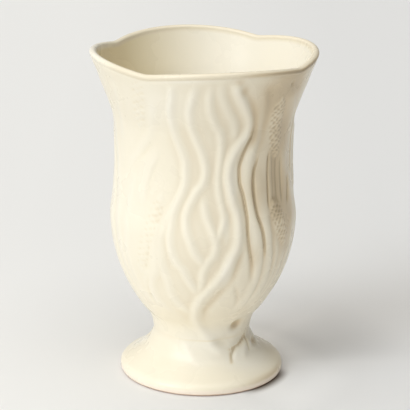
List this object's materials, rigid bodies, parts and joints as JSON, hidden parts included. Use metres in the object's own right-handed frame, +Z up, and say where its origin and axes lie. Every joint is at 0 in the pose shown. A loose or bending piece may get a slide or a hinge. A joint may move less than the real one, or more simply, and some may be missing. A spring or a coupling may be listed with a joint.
{
  "type": "vase",
  "caption": "Ivory-glazed earthenware vase: a flaring bowl with a lobed, rolled rim and a relief of reeds and seed ears, on a hollow spreading foot that it rests on.",
  "frame": {"origin": "centre of the foot's underside, on the surface that the vase stands on", "axes": "+Z up to the rim; -Y towards the side that the picture shows; +X to its right"},
  "size_m": [0.1344, 0.1344, 0.2],
  "materials": {
    "ivory_glaze": "satin ivory glaze, thin on the crests and pooled in the hollows",
    "bare_clay": "matte unglazed earthenware"
  },
  "bodies": {
    "root": {"bowl": "ivory_glaze", "slip_seam": "bare_clay", "pedestal_foot": "ivory_glaze"}
  },
  "joints": []
}
